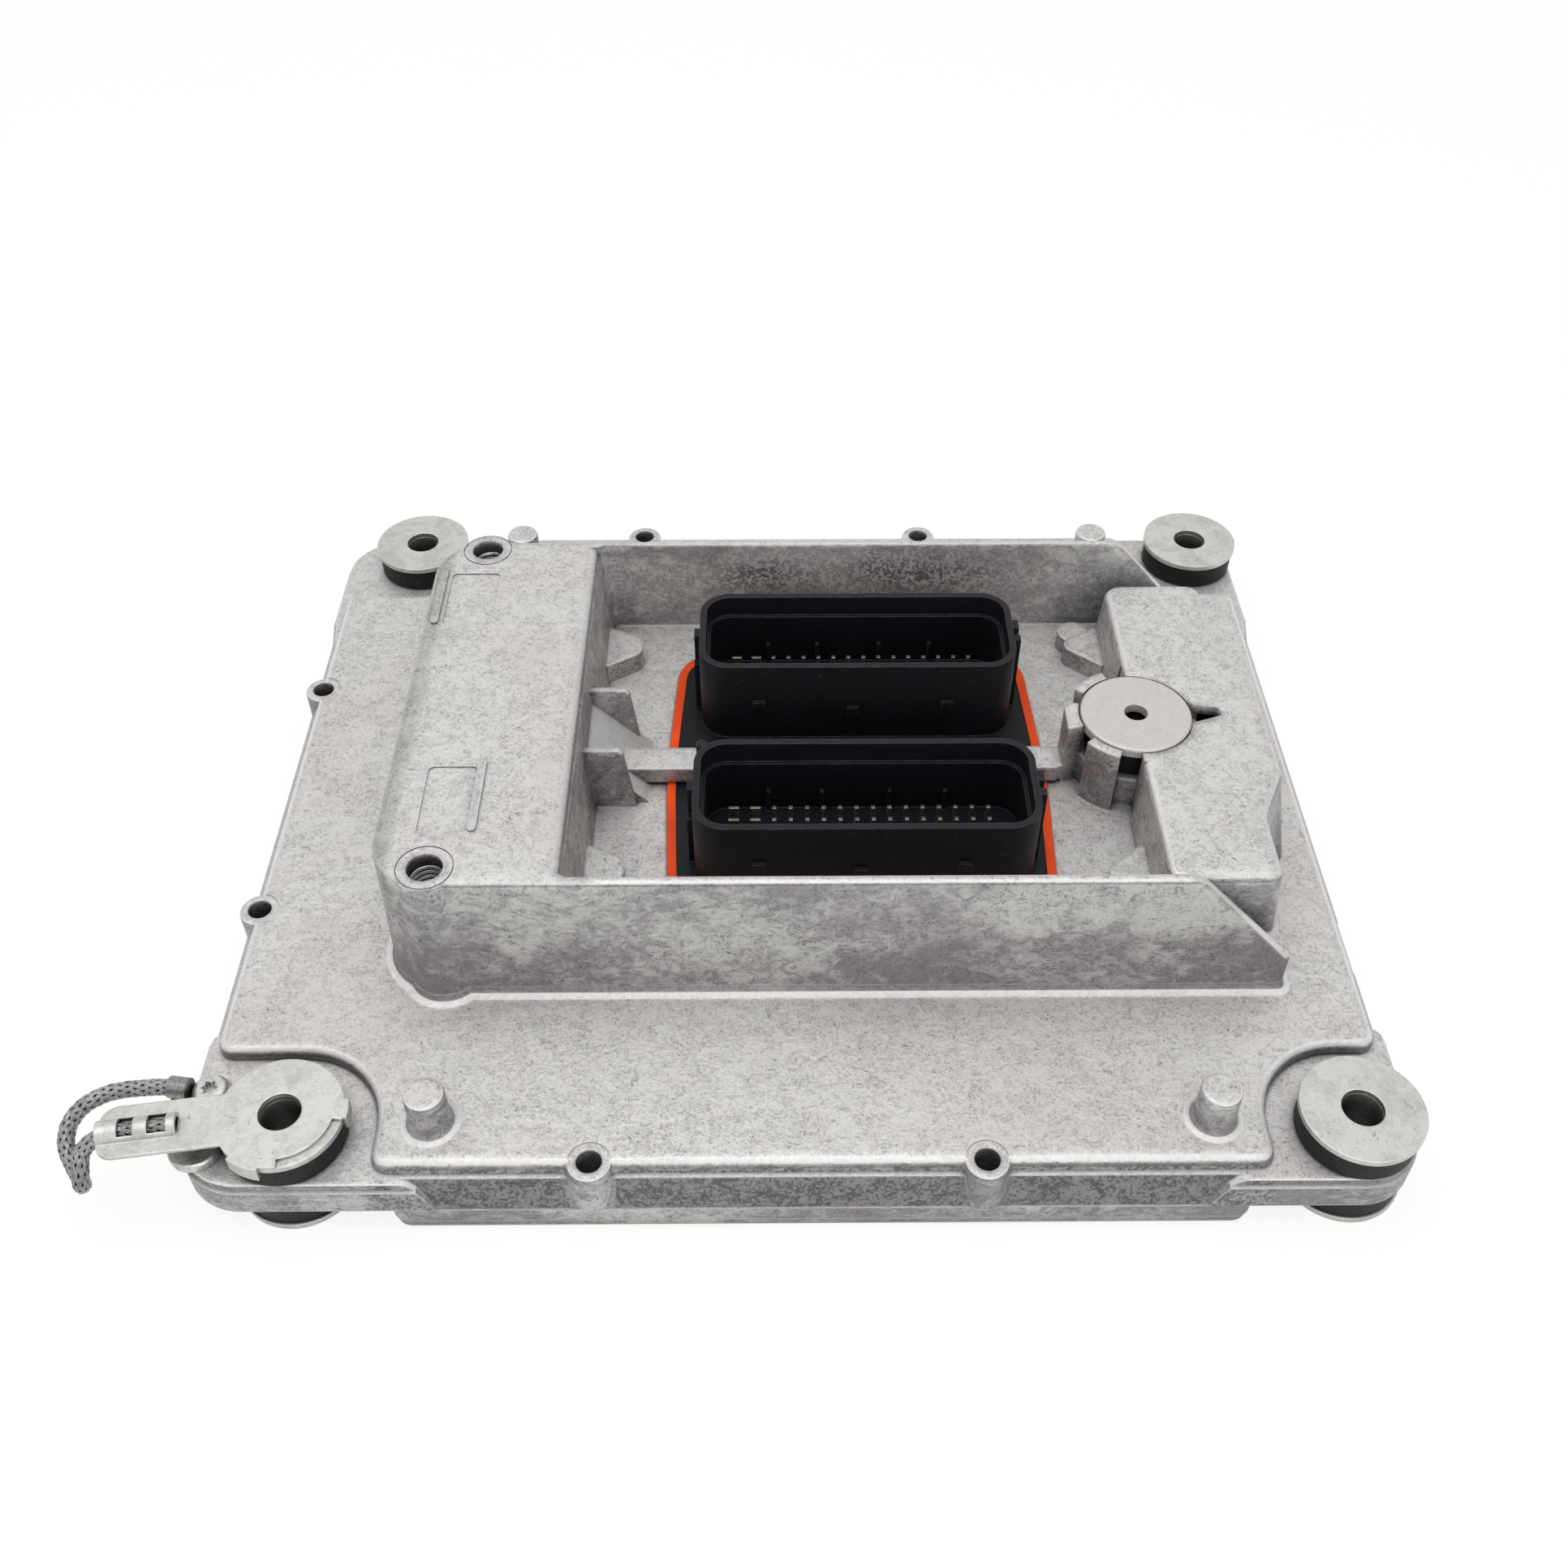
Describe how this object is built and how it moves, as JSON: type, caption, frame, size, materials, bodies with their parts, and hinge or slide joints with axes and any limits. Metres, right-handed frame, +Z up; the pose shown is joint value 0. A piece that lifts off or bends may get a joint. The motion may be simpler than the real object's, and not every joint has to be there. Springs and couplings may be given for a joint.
{
  "type": "engine control unit",
  "caption": "Flat die-cast housing with a raised open tower around two plug sockets, a round vent, corner rubber mounts and a short ground braid.",
  "frame": {"origin": "centre of the isolator bolt pattern, on the plane of the lower washers' undersides", "axes": "+X along the housing's long side toward the vent, +Y toward the back, +Z up through the isolators and out of the plug sockets"},
  "size_m": [0.3067, 0.2393, 0.0596],
  "materials": {
    "cast_aluminium": "as cast, mottled",
    "cover_aluminium": "as cast",
    "orange_silicone": "satin",
    "grey_silicone": "satin",
    "black_rubber": "satin",
    "black_plastic": "satin",
    "pin_metal": "tinned",
    "vent_metal": "satin",
    "membrane": "matte",
    "zinc_steel": "zinc plated",
    "screw_steel": "plated",
    "tinned_copper": "tinned, dull",
    "board_green": "satin",
    "chip_black": "satin",
    "thermal_grey": "matte",
    "capacitor_can": "sleeved",
    "ferrite": "wound"
  },
  "bodies": {
    "root": {"housing": "cast_aluminium", "bottom_cover": "cover_aluminium", "cover_gasket": "grey_silicone", "cover_screws": "screw_steel", "connector_header": "black_plastic", "header_gasket": "orange_silicone", "header_screws": "screw_steel", "vent_cap": "vent_metal", "vent_body": "black_plastic", "vent_membrane": "membrane", "ground_terminal": "zinc_steel", "ground_braid": "tinned_copper", "ground_lug": "tinned_copper", "ground_screw": "screw_steel", "corner_screw": "screw_steel", "circuit_board": "board_green", "board_screws": "screw_steel", "processor": "chip_black", "flash_memory": "chip_black", "driver_chips": "chip_black", "power_transistors": "chip_black", "thermal_pads": "thermal_grey", "storage_capacitors": "capacitor_can", "choke": "ferrite", "crystal": "screw_steel", "pressure_sensor": "black_plastic", "front_pins": "pin_metal", "front_blades": "pin_metal", "rear_pins": "pin_metal", "rear_blades": "pin_metal", "isolator_front_left": "black_rubber", "isolator_front_right": "black_rubber", "isolator_rear_left": "black_rubber", "isolator_rear_right": "black_rubber", "sleeve_front_left": "zinc_steel", "sleeve_front_right": "zinc_steel", "sleeve_rear_left": "zinc_steel", "sleeve_rear_right": "zinc_steel", "upper_washer_front_left": "zinc_steel", "upper_washer_front_right": "zinc_steel", "upper_washer_rear_left": "zinc_steel", "upper_washer_rear_right": "zinc_steel", "lower_washer_front_left": "zinc_steel", "lower_washer_front_right": "zinc_steel", "lower_washer_rear_left": "zinc_steel", "lower_washer_rear_right": "zinc_steel"}
  },
  "joints": []
}
